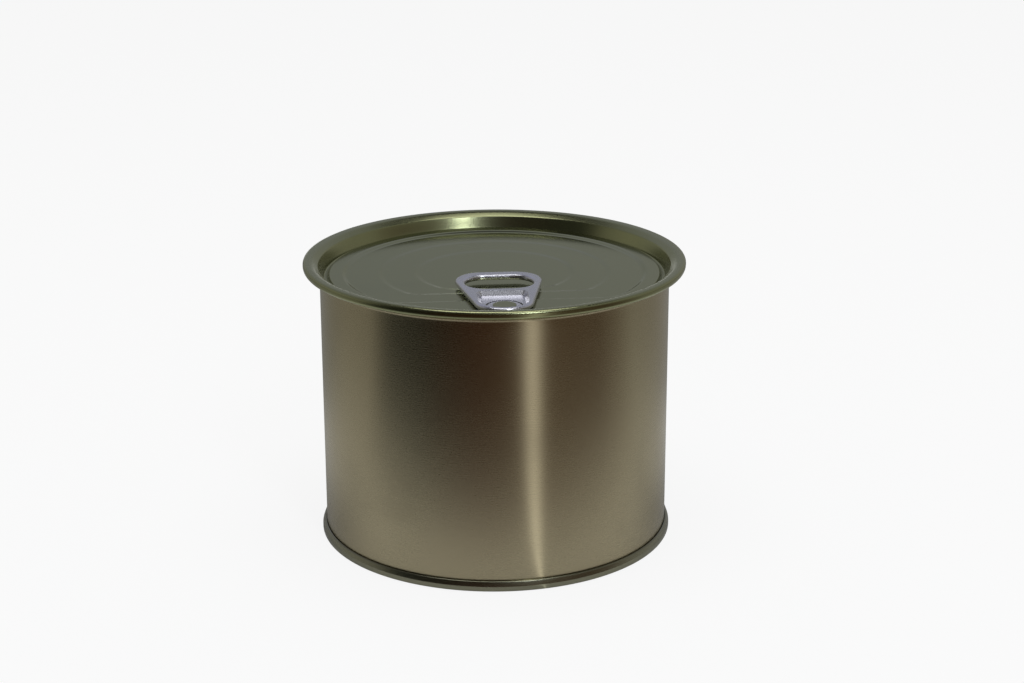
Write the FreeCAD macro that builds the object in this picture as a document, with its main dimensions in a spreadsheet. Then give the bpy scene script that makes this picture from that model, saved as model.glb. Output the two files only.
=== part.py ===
"""Shut food can with a flared rolled rim, a stepped ring-pull end and a seamed base.

The can stands on its base seam. The origin is the middle of that seam's foot,
+Z is up, and the pull tab's nose points along -Y. Lengths are millimetres.

Every driving size is a cell of the sheet "Sizes". The sub-parts are bodies whose
sketches and features are bound to those cells, so a changed cell moves all that
depends on it. Nothing can be seen of the inside, so the can is solid inside.
"""
import FreeCAD, Part
import math
import os

import Sketcher
from FreeCAD import Placement, Rotation, Vector

# alias, value, what it measures
SIZES = [
    # the whole can
    ("can_height", 81.0, "foot of the base seam to the crest of the rim"),
    ("body_radius", 49.65, "outside of the straight wall"),
    ("rim_reach", 4.65, "wall to the outermost circle of the rolled rim"),
    # rolled rim of the top end, all depths below the crest
    ("rim_drop", 0.95, "crest to the outermost circle"),
    ("crest_round", 0.5, "outer rounding of the crest"),
    ("flange_width", 4.3, "outermost circle to the top of the chuck wall"),
    ("flange_fall", 1.35, "crest to the top of the chuck wall"),
    ("flange_bow", 9.3, "radius of the flange's hump"),
    ("flange_round", 0.8, "rounding from the flange into the chuck wall"),
    ("hem_round", 1.55, "rounding under the outermost circle"),
    # wall where it flares out to meet the rim
    ("flare_reach", 1.75, "wall to the flare's widest edge"),
    ("flare_height", 3.1, "height of the flare"),
    ("flare_round", 3.0, "hollow rounding at the foot of the flare"),
    # chuck wall and countersink of the top end
    ("chuck_run", 1.6, "how far the chuck wall leans in"),
    ("sink_depth", 5.25, "crest to the bottom of the countersink"),
    ("sink_round", 0.65, "half width and rounding of the countersink"),
    ("seat_floor", 0.55, "bottom of the countersink to the end's flat underside"),
    ("seat_wall", 0.4, "countersink to the foot of the cone on which the end seats"),
    ("seat_spread", 1.1, "how far that cone widens upwards"),
    # panel of the top end
    ("panel_depth", 3.95, "crest to the panel's edge"),
    ("panel_round", 0.4, "rounding of the panel's edge"),
    ("score_inset", 0.7, "panel's edge to the score line"),
    ("score_width", 0.3, "width of the score line"),
    ("score_depth", 0.12, "depth of the score line"),
    ("outer_step_inset", 3.6, "panel's edge to the rim of the outer recess"),
    ("outer_step_back", 7.7, "its straight side, from the rivet"),
    ("outer_step_depth", 0.45, "how far the outer recess steps down"),
    ("outer_step_run", 1.6, "width of its slope"),
    ("middle_step_inset", 13.8, "panel's edge to the rim of the middle recess"),
    ("middle_step_back", 15.7, "its straight side, from the rivet"),
    ("middle_step_depth", 0.17, "how far the middle recess steps down"),
    ("middle_step_run", 1.3, "width of its slope"),
    ("inner_step_inset", 24.1, "panel's edge to the rim of the inner recess"),
    ("inner_step_back", 20.4, "its straight side, from the rivet"),
    ("inner_step_depth", 0.17, "how far the inner recess steps down"),
    ("inner_step_run", 1.2, "width of its slope"),
    ("recess_corner", 3.2, "rounding where arc and straight side meet"),
    # pull tab
    ("tab_lift", 0.3, "gap between the panel's edge and the tab"),
    ("tab_thickness", 1.6, "height of the tab's curled edges"),
    ("tab_curl", 0.72, "rounding of the curled edges"),
    ("tab_length", 35.7, "tip of the nose to the back of the ring"),
    ("tab_half_width", 12.05, "half the widest part of the ring"),
    ("tab_heel_corner", 7.6, "rounding of the ring's back corners"),
    ("tab_nose_radius", 8.1, "rounding of the nose"),
    ("tab_nose_back", 1.9, "centre of the nose, from the rivet towards the ring"),
    ("ring_bar", 3.5, "back bar of the ring"),
    ("ring_hole_length", 12.9, "finger hole along the tab"),
    ("ring_hole_half_width", 9.5, "half the finger hole's width"),
    ("ring_hole_corner", 6.0, "rounding of the finger hole"),
    ("ring_web", 2.5, "bar between the finger hole and the web"),
    ("web_thickness", 0.45, "sheet round the rivet"),
    ("web_half_width", 7.0, "half the width of the web's hollow at its back"),
    ("web_corner", 1.9, "rounding of the hollow's back corners"),
    ("web_wall_lean", 40.0, "angle of the hollow's walls"),
    ("web_nose_radius", 6.9, "rounding of the hollow at the nose"),
    ("slit_radius", 4.95, "middle of the slit round the rivet"),
    ("slit_width", 0.5, "width of the slit"),
    ("slit_overrun", 5.0, "angle by which each end passes the rivet's side"),
    # rivet
    ("rivet_inset", 8.8, "panel's edge to the rivet"),
    ("rivet_boss_radius", 3.9, "button under the tab"),
    ("rivet_stem_radius", 1.6, "stem through the tab"),
    ("rivet_slack", 0.05, "gap between the stem and the tab's hole"),
    ("rivet_head_radius", 3.2, "head on the tab"),
    ("rivet_head_height", 0.42, "height of the head above the web"),
    ("rivet_head_round", 0.25, "rounding of the head's edge"),
    # base end
    ("base_seam_reach", 1.25, "wall to the outside of the base seam"),
    ("base_seam_height", 3.0, "height of the base seam"),
    ("base_foot_round", 0.6, "outer rounding of the seam's foot"),
    ("base_lip_round", 0.45, "rounding of the seam's upper edge"),
    ("base_seam_width", 2.4, "thickness of the seam at its foot"),
    ("base_chuck_run", 0.9, "how far the base's chuck wall leans in"),
    ("base_sink_height", 4.0, "foot to the roof of the base's countersink"),
    ("base_sink_width", 1.3, "width of that countersink"),
    ("base_panel_height", 3.1, "foot to the base panel"),
    ("base_end_wall", 0.8, "roof of that countersink to the base end's top face"),
    ("base_end_run", 0.55, "chuck wall to the edge of that top face"),
    ("base_bead_height", 0.5, "depth of the rings pressed into the base"),
    ("base_bead_run", 0.8, "width of their slopes"),
    ("base_bead_outer", 7.3, "base panel's edge to the outer pressed ring"),
    ("base_bead_inner", 22.3, "base panel's edge to the inner pressed ring"),
    ("base_bead_width", 4.5, "width of each pressed ring"),
    # lapped side seam at the back of the wall
    ("lap_width", 1.1, "width of the lapped seam"),
    ("lap_height", 0.12, "how far it stands out"),
]

ALIASES = {alias for alias, _, _ in SIZES}

PLANE_NORMAL_UP = "XY_Plane"
PLANE_SECTION = "XZ_Plane"
PLANE_MIDDLE = "YZ_Plane"


def make_sheet(doc):
    """Write every driving size to the sheet, one aliased cell each."""
    sheet = doc.addObject("Spreadsheet::Sheet", "Sizes")
    for row, (alias, value, meaning) in enumerate(SIZES, start=1):
        sheet.set(f"A{row}", meaning)
        sheet.set(f"B{row}", str(value))
        sheet.setAlias(f"B{row}", alias)
    doc.recompute()
    return sheet


def bound(expression):
    """Turn plain cell names into references to the sheet, for setExpression."""
    words = []
    word = ""
    for letter in expression + " ":
        if letter.isalnum() or letter == "_":
            word += letter
            continue
        words.append("Sizes." + word if word in ALIASES else word)
        words.append(letter)
        word = ""
    return "".join(words).strip()


def value_of(thing, expression):
    """Number that an expression of cells stands for now."""
    answer = thing.evalExpression(bound(expression))
    return float(getattr(answer, "Value", answer))


def new_body(doc, label):
    """Empty PartDesign body whose label names the node."""
    body = doc.addObject("PartDesign::Body", "Body_" + label)
    body.Label = label
    body.Placement = Placement(Vector(0, 0, 0), Rotation())
    return body


def new_sketch(body, name, plane, lift="0"):
    """Sketch on one of the body's own origin planes, lifted along its normal."""
    sketch = body.newObject("Sketcher::SketchObject", name)
    support = [item for item in body.Origin.OriginFeatures if item.Role == plane][0]
    sketch.AttachmentSupport = (support, [""])
    sketch.MapMode = "FlatFace"
    sketch.setExpression("AttachmentOffset.Base.z", bound(lift))
    body.Document.recompute()
    return sketch


class Outline:
    """Closed outline of a sketch, whose corners and bends follow the sheet.

    corner() places the next corner by two expressions; bend() makes the run from
    the last corner to the next one an arc. A positive side bulges to the right of
    the direction of travel, a negative side to the left.
    """

    def __init__(self, sketch):
        self.sketch = sketch
        self.corners = []
        self.bends = {}

    def corner(self, across, up):
        self.corners.append((across, up))
        return self

    def bend(self, radius, side):
        self.bends[len(self.corners) - 1] = (radius, side)
        return self

    def point(self, index):
        across, up = self.corners[index % len(self.corners)]
        return Vector(value_of(self.sketch, across), value_of(self.sketch, up), 0)

    def add_arc(self, start, end, radius, side):
        """Add the shorter arc between two corners; return its start and end spots."""
        chord = end - start
        half = chord.Length / 2
        inward = Vector(-chord.y, chord.x, 0).normalize() * side
        centre = (start + end) * 0.5 + inward * math.sqrt(max(radius * radius - half * half, 0.0))
        first, last = (start, end) if side > 0 else (end, start)
        begin = math.atan2(first.y - centre.y, first.x - centre.x)
        finish = math.atan2(last.y - centre.y, last.x - centre.x)
        if finish <= begin:
            finish += 2 * math.pi
        circle = Part.Circle(centre, Vector(0, 0, 1), radius)
        number = self.sketch.addGeometry(Part.ArcOfCircle(circle, begin, finish), False)
        return ((number, 1), (number, 2)) if side > 0 else ((number, 2), (number, 1))

    def draw(self):
        """Add the runs, join them and bind every corner and every radius."""
        count = len(self.corners)
        starts = []
        ends = []
        for index in range(count):
            start = self.point(index)
            end = self.point(index + 1)
            if index in self.bends:
                radius, side = self.bends[index]
                size = value_of(self.sketch, radius)
                head, tail = self.add_arc(start, end, size, side)
                starts.append(head)
                ends.append(tail)
                self.limit("Radius", head[0], (), radius)
            else:
                number = self.sketch.addGeometry(Part.LineSegment(start, end), False)
                starts.append((number, 1))
                ends.append((number, 2))
        for index in range(count):
            joined = starts[(index + 1) % count]
            self.sketch.addConstraint(Sketcher.Constraint("Coincident", *ends[index], *joined))
        for index, (across, up) in enumerate(self.corners):
            self.place(starts[index], "DistanceX", -2, across)
            self.place(starts[index], "DistanceY", -1, up)
        return self.sketch

    def place(self, spot, kind, axis, expression):
        """Bind one coordinate of a corner, or pin it to the axis if it is nil."""
        size = value_of(self.sketch, expression)
        if abs(size) < 1e-9:
            rule = Sketcher.Constraint("PointOnObject", *spot, axis)
            self.sketch.addConstraint(rule)
        elif size > 0:
            self.limit(kind, -1, (1, *spot), expression)
        else:
            self.limit(kind, spot[0], (spot[1], -1, 1), f"-({expression})")

    def limit(self, kind, first, rest, expression):
        """Add a dimension and bind it to its expression."""
        size = value_of(self.sketch, expression)
        number = self.sketch.addConstraint(Sketcher.Constraint(kind, first, *rest, size))
        self.sketch.setExpression(f"Constraints[{number}]", bound(expression))


def revolve(body, name, sketch, kind="PartDesign::Revolution", axis="V_Axis"):
    """Full turn of a section about an axis of its sketch."""
    feature = body.newObject(kind, name)
    feature.Profile = sketch
    feature.ReferenceAxis = (sketch, [axis])
    feature.Angle = 360.0
    body.Document.recompute()
    return feature


def pad(body, name, sketch, length, reverse=False):
    """Pad along the sketch's normal, or against it."""
    feature = body.newObject("PartDesign::Pad", name)
    feature.Profile = sketch
    feature.setExpression("Length", bound(length))
    feature.Reversed = reverse
    body.Document.recompute()
    return feature


def pocket(body, name, sketch, length, taper=None, reverse=False):
    """Pocket against the sketch's normal, or along it; it must take something away."""
    before = body.Shape.Volume
    feature = body.newObject("PartDesign::Pocket", name)
    feature.Profile = sketch
    feature.setExpression("Length", bound(length))
    feature.Reversed = reverse
    if taper:
        feature.setExpression("TaperAngle", bound(taper))
    body.Document.recompute()
    if body.Shape.Volume >= before:
        raise RuntimeError(f"{name} cuts nothing")
    return feature


# Heights that several sub-parts share
WIDEST = "can_height - rim_drop"
HEM = "can_height - rim_drop - hem_round"
SEAT = "can_height - sink_depth - seat_floor"
PANEL = "can_height - panel_depth"
TAB_FOOT = "can_height - panel_depth + tab_lift"
TAB_TOP = "can_height - panel_depth + tab_lift + tab_thickness"
WEB_TOP = "can_height - panel_depth + tab_lift + web_thickness"
BASE_END = "base_sink_height + base_end_wall"

# Distances from the can's axis that several sub-parts share
RIM = "(body_radius + rim_reach)"
FLARE_EDGE = "body_radius + flare_reach"
CHUCK_TOP = f"{RIM} - flange_width"
CHUCK_FOOT = f"{CHUCK_TOP} - chuck_run"
SEAT_RADIUS = f"{CHUCK_FOOT} + seat_wall"
PANEL_EDGE = f"{CHUCK_FOOT} - 2 * sink_round"
BASE_END_RADIUS = "body_radius - base_chuck_run - base_end_run"

# Distances from the can's axis along the tab
RIVET = f"({PANEL_EDGE} - rivet_inset)"
NOSE = f"({RIVET} - tab_nose_back)"
HEEL = f"({NOSE} + tab_nose_radius - tab_length)"
HOLE_BACK = f"-{HEEL} - ring_bar"
HOLE_FRONT = f"{HOLE_BACK} - ring_hole_length"
WEB_HEEL = f"{HOLE_FRONT} - ring_web"


def make_body(doc):
    """Straight wall with its flared top, solid inside, and the lapped side seam."""
    body = new_body(doc, "body")
    section = Outline(new_sketch(body, "BodySection", PLANE_SECTION))
    section.corner("0", BASE_END)
    section.corner(BASE_END_RADIUS, BASE_END)
    section.corner("body_radius - base_chuck_run", "base_seam_height")
    section.corner("body_radius", "base_seam_height")
    section.corner("body_radius", f"{HEM} - flare_height")
    section.corner(FLARE_EDGE, HEM)
    section.corner(f"{SEAT_RADIUS} + seat_spread", HEM)
    section.corner(SEAT_RADIUS, SEAT)
    section.corner("0", SEAT)
    revolve(body, "Wall", section.draw())
    round_edges(body, "FlareFoot", "flare_round", circles_at(body, "body_radius", f"{HEM} - flare_height"))

    lap = Outline(new_sketch(body, "LapSection", PLANE_NORMAL_UP, "base_seam_height"))
    lap.corner("-lap_width / 2", "body_radius - 1")
    lap.corner("lap_width / 2", "body_radius - 1")
    lap.corner("lap_width / 2", "body_radius + lap_height")
    lap.corner("-lap_width / 2", "body_radius + lap_height")
    pad(body, "LapSeam", lap.draw(), f"{HEM} - base_seam_height - flare_height")
    return body


def make_lid(doc):
    """Ring-pull end: rolled rim, chuck wall, countersink, stepped panel and rivet."""
    body = new_body(doc, "lid")
    section = Outline(new_sketch(body, "EndSection", PLANE_SECTION))
    sink_bottom = "can_height - sink_depth + sink_round"
    section.corner("0", SEAT)
    section.corner(SEAT_RADIUS, SEAT)
    section.corner(f"{SEAT_RADIUS} + seat_spread", HEM)
    section.corner(f"{RIM} - hem_round", HEM).bend("hem_round", 1)
    section.corner(RIM, WIDEST)
    section.corner(RIM, "can_height - crest_round").bend("crest_round", 1)
    section.corner(f"{RIM} - crest_round", "can_height").bend("flange_bow", 1)
    section.corner(CHUCK_TOP, "can_height - flange_fall")
    section.corner(CHUCK_FOOT, sink_bottom).bend("sink_round", -1)
    section.corner(PANEL_EDGE, sink_bottom)
    section.corner(PANEL_EDGE, f"{PANEL} - panel_round").bend("panel_round", -1)
    section.corner(f"{PANEL_EDGE} - panel_round", PANEL)
    section.corner("0", PANEL)
    revolve(body, "EndShell", section.draw())
    bend = circles_at(body, CHUCK_TOP, "can_height - flange_fall")
    round_edges(body, "FlangeRound", "flange_round", bend)
    for step in ("outer", "middle", "inner"):
        press_recess(body, step)
    cut_score(body)
    head_rivet(body)
    return body


def recess_level(step):
    """Height of the panel just outside a recess."""
    above = {"outer": [], "middle": ["outer"], "inner": ["outer", "middle"]}[step]
    return PANEL + "".join(f" - {other}_step_depth" for other in above)


def press_recess(body, step):
    """Press one D-shaped recess with sloping sides into the panel."""
    name = step.capitalize()
    lift = recess_level(step)
    sketch = new_sketch(body, name + "RecessShape", PLANE_NORMAL_UP, lift)
    reach_of_arc = f"{PANEL_EDGE} - {step}_step_inset"
    reach_of_chord = f"{RIVET} - {step}_step_back"
    radius = value_of(sketch, reach_of_arc)
    chord = value_of(sketch, reach_of_chord)
    corner = value_of(sketch, "recess_corner")
    reach = math.sqrt((radius - corner) ** 2 - (chord - corner) ** 2)
    slant = math.atan2(-(chord - corner), reach)
    middle = Vector(0, 0, 0)
    along = Vector(0, 0, 1)
    pivots = (Vector(reach, corner - chord, 0), Vector(-reach, corner - chord, 0))

    big = sketch.addGeometry(
        Part.ArcOfCircle(Part.Circle(middle, along, radius), slant, math.pi - slant), False
    )
    left = sketch.addGeometry(
        Part.ArcOfCircle(Part.Circle(pivots[1], along, corner), math.pi - slant, 1.5 * math.pi), False
    )
    flat = sketch.addGeometry(
        Part.LineSegment(Vector(-reach, -chord, 0), Vector(reach, -chord, 0)), False
    )
    right = sketch.addGeometry(
        Part.ArcOfCircle(Part.Circle(pivots[0], along, corner), -0.5 * math.pi, slant), False
    )
    ring = (big, left, flat, right)
    for index, run in enumerate(ring):
        sketch.addConstraint(Sketcher.Constraint("Tangent", run, 2, ring[(index + 1) % 4], 1))
    sketch.addConstraint(Sketcher.Constraint("Coincident", big, 3, -1, 1))
    sketch.addConstraint(Sketcher.Constraint("Horizontal", flat))
    sketch.addConstraint(Sketcher.Constraint("Equal", left, right))
    outline = Outline(sketch)
    outline.limit("Radius", big, (), reach_of_arc)
    outline.limit("Radius", left, (), "recess_corner")
    outline.limit("DistanceY", flat, (1, -1, 1), reach_of_chord)
    slope = f"-atan({step}_step_run / {step}_step_depth)"
    pocket(body, name + "Recess", sketch, f"{step}_step_depth", slope)


def cut_score(body):
    """Turn the score line, a fine V, into the panel's edge."""
    score = Outline(new_sketch(body, "ScoreSection", PLANE_SECTION))
    middle = f"{PANEL_EDGE} - score_inset"
    score.corner(middle, f"{PANEL} - score_depth")
    score.corner(f"{middle} + score_width / 2", PANEL)
    score.corner(f"{middle} - score_width / 2", PANEL)
    revolve(body, "ScoreLine", score.draw(), "PartDesign::Groove")


def head_rivet(body):
    """Raise the rivet from the panel: button, stem and head in one turn."""
    sketch = new_sketch(body, "RivetSection", PLANE_MIDDLE)
    rivet = Outline(sketch)
    root = f"{PANEL} - outer_step_depth"
    crown = f"{WEB_TOP} + rivet_head_height"
    rivet.corner(f"-{RIVET}", root)
    rivet.corner(f"-{RIVET} - rivet_boss_radius", root)
    rivet.corner(f"-{RIVET} - rivet_boss_radius", TAB_FOOT)
    rivet.corner(f"-{RIVET} - rivet_stem_radius", TAB_FOOT)
    rivet.corner(f"-{RIVET} - rivet_stem_radius", WEB_TOP)
    rivet.corner(f"-{RIVET} - rivet_head_radius", WEB_TOP)
    rivet.corner(f"-{RIVET} - rivet_head_radius", f"{crown} - rivet_head_round")
    rivet.bend("rivet_head_round", -1)
    rivet.corner(f"-{RIVET} - rivet_head_radius + rivet_head_round", crown)
    rivet.corner(f"-{RIVET}", crown)
    rivet.draw()
    place = value_of(sketch, RIVET)
    low = value_of(sketch, root)
    high = value_of(sketch, crown)
    line = sketch.addGeometry(Part.LineSegment(Vector(-place, low, 0), Vector(-place, high, 0)), True)
    sketch.addConstraint(Sketcher.Constraint("Vertical", line))
    rivet.limit("DistanceX", line, (1, -1, 1), RIVET)
    rivet.limit("DistanceY", -1, (1, line, 1), root)
    rivet.limit("DistanceY", -1, (1, line, 2), crown)
    revolve(body, "Rivet", sketch, axis="Axis0")


def make_tab(doc):
    """Pull tab: curled ring with its finger hole, sunk web, slit and rivet hole."""
    body = new_body(doc, "pull_tab")
    outline = Outline(new_sketch(body, "TabOutline", PLANE_NORMAL_UP, TAB_FOOT))
    tapered_outline(outline, "tab_half_width", HEEL, "tab_heel_corner", "tab_nose_radius")
    pad(body, "Tab", outline.draw(), "tab_thickness")

    hole = Outline(new_sketch(body, "RingHoleOutline", PLANE_NORMAL_UP, TAB_TOP))
    rounded_slot(hole, "ring_hole_half_width", HOLE_BACK, HOLE_FRONT, "ring_hole_corner")
    pocket(body, "RingHole", hole.draw(), "tab_thickness")
    round_edges(body, "Curls", "tab_curl", flat_edges(body, (TAB_FOOT, TAB_TOP)))

    web = Outline(new_sketch(body, "WebOutline", PLANE_NORMAL_UP, TAB_TOP))
    tapered_outline(web, "web_half_width", f"(-({WEB_HEEL}))", "web_corner", "web_nose_radius")
    pocket(body, "Web", web.draw(), "tab_thickness - web_thickness", "-web_wall_lean")
    cut_slit(body)
    cut_rivet_hole(body)
    return body


def side_lean(across, up, radius):
    """Slope of the nose arc's end, where a straight side from a point meets it as a tangent."""
    rise = f"({up} + {NOSE})"
    return f"(atan2({rise}; {across}) - acos({radius} / sqrt(({across})^2 + {rise}^2)))"


def round_nose(outline, radius, lean):
    """The nose in two arcs, from the left cheek over the tip to the right cheek."""
    cheek = f"{radius} * cos({lean})"
    level = f"-{NOSE} + {radius} * sin({lean})"
    outline.corner(f"-({cheek})", level).bend(radius, 1)
    outline.corner("0", f"-{NOSE} - {radius}").bend(radius, 1)
    outline.corner(cheek, level)


def tapered_outline(outline, half_width, heel, corner, nose):
    """Straight heel, round back corners, tapering sides and a round nose, all tangent."""
    pivot = f"({half_width} - {corner})"
    level = f"(-{heel} - {corner})"
    lean = side_lean(pivot, level, f"({nose} - {corner})")
    shoulder = f"{pivot} + {corner} * cos({lean})"
    shoulder_level = f"{level} + {corner} * sin({lean})"
    outline.corner(shoulder, shoulder_level).bend(corner, 1)
    outline.corner(pivot, f"-{heel}")
    outline.corner(f"-{pivot}", f"-{heel}").bend(corner, 1)
    outline.corner(f"-({shoulder})", shoulder_level)
    round_nose(outline, nose, lean)


def rounded_slot(outline, half_width, back, front, corner):
    """Rectangle with four round corners, from its back edge to its front edge."""
    outline.corner(f"{half_width} - {corner}", back)
    outline.corner(f"-({half_width} - {corner})", back).bend(corner, 1)
    outline.corner(f"-{half_width}", f"{back} - {corner}")
    outline.corner(f"-{half_width}", f"{front} + {corner}").bend(corner, 1)
    outline.corner(f"-({half_width} - {corner})", front)
    outline.corner(f"{half_width} - {corner}", front).bend(corner, 1)
    outline.corner(half_width, f"{front} + {corner}")
    outline.corner(half_width, f"{back} - {corner}").bend(corner, 1)


def cut_slit(body):
    """Slit behind and beside the rivet, which lets the tab hinge at its nose."""
    slit = Outline(new_sketch(body, "SlitOutline", PLANE_NORMAL_UP, WEB_TOP))
    outer = "(slit_radius + slit_width / 2)"
    inner = "(slit_radius - slit_width / 2)"
    turn = "cos(slit_overrun * 1deg)"
    sink = "sin(slit_overrun * 1deg)"
    slit.corner(f"{outer} * {turn}", f"-{RIVET} - {outer} * {sink}").bend(outer, 1)
    slit.corner("0", f"-{RIVET} + {outer}").bend(outer, 1)
    slit.corner(f"-{outer} * {turn}", f"-{RIVET} - {outer} * {sink}")
    slit.corner(f"-{inner} * {turn}", f"-{RIVET} - {inner} * {sink}").bend(inner, -1)
    slit.corner("0", f"-{RIVET} + {inner}").bend(inner, -1)
    slit.corner(f"{inner} * {turn}", f"-{RIVET} - {inner} * {sink}")
    pocket(body, "Slit", slit.draw(), "web_thickness")


def cut_rivet_hole(body):
    """Hole for the rivet's stem, with a little slack."""
    sketch = new_sketch(body, "RivetHoleOutline", PLANE_NORMAL_UP, WEB_TOP)
    stem = value_of(sketch, "rivet_stem_radius + rivet_slack")
    place = Vector(0, -value_of(sketch, RIVET), 0)
    ring = sketch.addGeometry(Part.Circle(place, Vector(0, 0, 1), stem), False)
    outline = Outline(sketch)
    sketch.addConstraint(Sketcher.Constraint("PointOnObject", ring, 3, -2))
    outline.limit("DistanceY", ring, (3, -1, 1), RIVET)
    outline.limit("Radius", ring, (), "rivet_stem_radius + rivet_slack")
    pocket(body, "RivetHole", sketch, "web_thickness")


def make_base(doc):
    """Base end: rounded seam, chuck wall, countersink and two pressed rings."""
    body = new_body(doc, "base")
    section = Outline(new_sketch(body, "BaseSection", PLANE_SECTION))
    outside = "body_radius + base_seam_reach"
    inside = f"{outside} - base_seam_width"
    sink_outer = f"{inside} - base_chuck_run"
    sink_inner = f"{sink_outer} - base_sink_width"
    section.corner("0", "base_panel_height")
    raised = "base_panel_height + base_bead_height"
    for bead in (f"{sink_inner} - base_bead_inner", f"{sink_inner} - base_bead_outer"):
        section.corner(f"{bead} - base_bead_width", "base_panel_height")
        section.corner(f"{bead} - base_bead_width + base_bead_run", raised)
        section.corner(f"{bead} - base_bead_run", raised)
        section.corner(bead, "base_panel_height")
    section.corner(f"{sink_inner} - base_foot_round / 2", "base_panel_height")
    section.corner(sink_inner, "base_sink_height")
    section.corner(sink_outer, "base_sink_height")
    section.corner(inside, "base_foot_round / 2").bend("base_foot_round / 2", 1)
    section.corner(f"{inside} + base_foot_round / 2", "0")
    section.corner(f"{outside} - base_foot_round", "0").bend("base_foot_round", 1)
    section.corner(outside, "base_foot_round")
    section.corner(outside, "base_seam_height - base_lip_round").bend("base_lip_round", 1)
    section.corner(f"{outside} - base_lip_round", "base_seam_height")
    section.corner("body_radius - base_chuck_run", "base_seam_height")
    section.corner(BASE_END_RADIUS, BASE_END)
    section.corner("0", BASE_END)
    revolve(body, "BaseShell", section.draw())
    return body


def circles_at(body, radius, height):
    """Names of the full circles of one radius at one height."""
    wanted = value_of(body, radius)
    level = value_of(body, height)
    names = []
    for number, edge in enumerate(body.Shape.Edges, start=1):
        curve = edge.Curve
        if not isinstance(curve, Part.Circle):
            continue
        if abs(curve.Radius - wanted) < 1e-4 and abs(curve.Center.z - level) < 1e-4:
            names.append(f"Edge{number}")
    return names


def flat_edges(body, levels):
    """Names of the edges that lie flat at any of the given heights."""
    heights = [value_of(body, level) for level in levels]
    names = []
    for number, edge in enumerate(body.Shape.Edges, start=1):
        box = edge.BoundBox
        if box.ZLength < 1e-4 and any(abs(box.ZMin - height) < 1e-4 for height in heights):
            names.append(f"Edge{number}")
    return names


def round_edges(body, name, radius, edges):
    """Fillet the named edges of the body's newest feature."""
    if not edges:
        raise RuntimeError(f"{name} finds no edge")
    feature = body.newObject("PartDesign::Fillet", name)
    feature.Base = (feature.BaseFeature, edges)
    feature.setExpression("Radius", bound(radius))
    body.Document.recompute()
    return feature


def check_document(doc, bodies):
    """Stop if anything failed to compute or any sub-part is not one valid solid."""
    for item in doc.Objects:
        if {"Invalid", "Error"} & set(item.State):
            raise RuntimeError(f"{item.Name} failed: {item.State}")
    for body in bodies:
        shape = body.Shape
        if shape.isNull() or not shape.isValid() or len(shape.Solids) != 1:
            raise RuntimeError(f"{body.Label} is not one valid solid")


def main():
    doc = FreeCAD.newDocument("FoodCan")
    make_sheet(doc)
    bodies = [make_body(doc), make_lid(doc), make_tab(doc), make_base(doc)]
    doc.recompute()
    check_document(doc, bodies)
    os.makedirs("parts", exist_ok=True)
    for body in bodies:
        body.Shape.exportStep(f"parts/{body.Label}.step")
        print(body.Label, round(body.Shape.Volume, 1), body.Shape.BoundBox)


main()
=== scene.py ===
"""Looks of a shut food can: its ring-pull end as pressed sheet, its metals, studio and camera.

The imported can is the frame: the origin is the middle of the base seam's foot, +Z is up
and the pull tab's nose points along -Y. Lengths are metres.
"""
import logging
import math
from dataclasses import dataclass
from enum import Enum
from typing import Any, Sequence

import bpy
import numpy as np
from mathutils import Matrix, Vector


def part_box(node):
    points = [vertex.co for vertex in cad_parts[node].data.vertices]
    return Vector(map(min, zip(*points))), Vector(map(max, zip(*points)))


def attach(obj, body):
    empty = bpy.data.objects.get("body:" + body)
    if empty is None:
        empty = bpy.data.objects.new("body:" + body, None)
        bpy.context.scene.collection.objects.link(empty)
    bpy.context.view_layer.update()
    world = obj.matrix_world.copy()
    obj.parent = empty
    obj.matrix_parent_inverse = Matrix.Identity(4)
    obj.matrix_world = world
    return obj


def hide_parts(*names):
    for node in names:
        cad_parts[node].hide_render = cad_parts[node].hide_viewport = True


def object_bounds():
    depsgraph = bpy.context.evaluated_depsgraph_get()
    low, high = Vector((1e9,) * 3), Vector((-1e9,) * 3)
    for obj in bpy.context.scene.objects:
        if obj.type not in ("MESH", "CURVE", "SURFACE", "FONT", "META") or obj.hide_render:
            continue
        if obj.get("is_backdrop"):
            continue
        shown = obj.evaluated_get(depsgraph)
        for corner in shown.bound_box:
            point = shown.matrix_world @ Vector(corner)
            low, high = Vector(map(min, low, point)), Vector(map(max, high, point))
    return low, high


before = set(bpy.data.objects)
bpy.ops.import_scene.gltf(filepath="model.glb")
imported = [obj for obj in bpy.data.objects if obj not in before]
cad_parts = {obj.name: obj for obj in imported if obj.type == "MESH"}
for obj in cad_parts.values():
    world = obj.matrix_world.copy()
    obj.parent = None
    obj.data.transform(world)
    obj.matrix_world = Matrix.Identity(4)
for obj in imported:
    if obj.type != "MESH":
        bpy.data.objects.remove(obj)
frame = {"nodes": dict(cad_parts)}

log = logging.getLogger("can")

MM = 0.001
Vec3 = tuple[float, float, float]
Color = Vec3
Span = tuple[float, float]

SHARP_ANGLE = math.radians(42)
PATCH_SCALE = 38.0
FLECK_SCALE = 2600.0
DULL_SHARE = 0.5
GRAIN_SHARE = 0.35
GRAIN_RELIEF = 0.7
RIM_BLEND = 0.8 * MM
WELD_COLOR = (0.12, 0.115, 0.10)
WELD_EDGE = (0.0000001, 0.0000004)  # squares of the distances where its tint fades
WELD_RISE = (0.0, 0.04)


# ---------------------------------------------------------------- shapes


@dataclass(frozen=True)
class Corner:
    """A corner of a turned section: distance from the axis, height and rounding."""

    radius: float
    height: float
    round: float = 0.0


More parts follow.
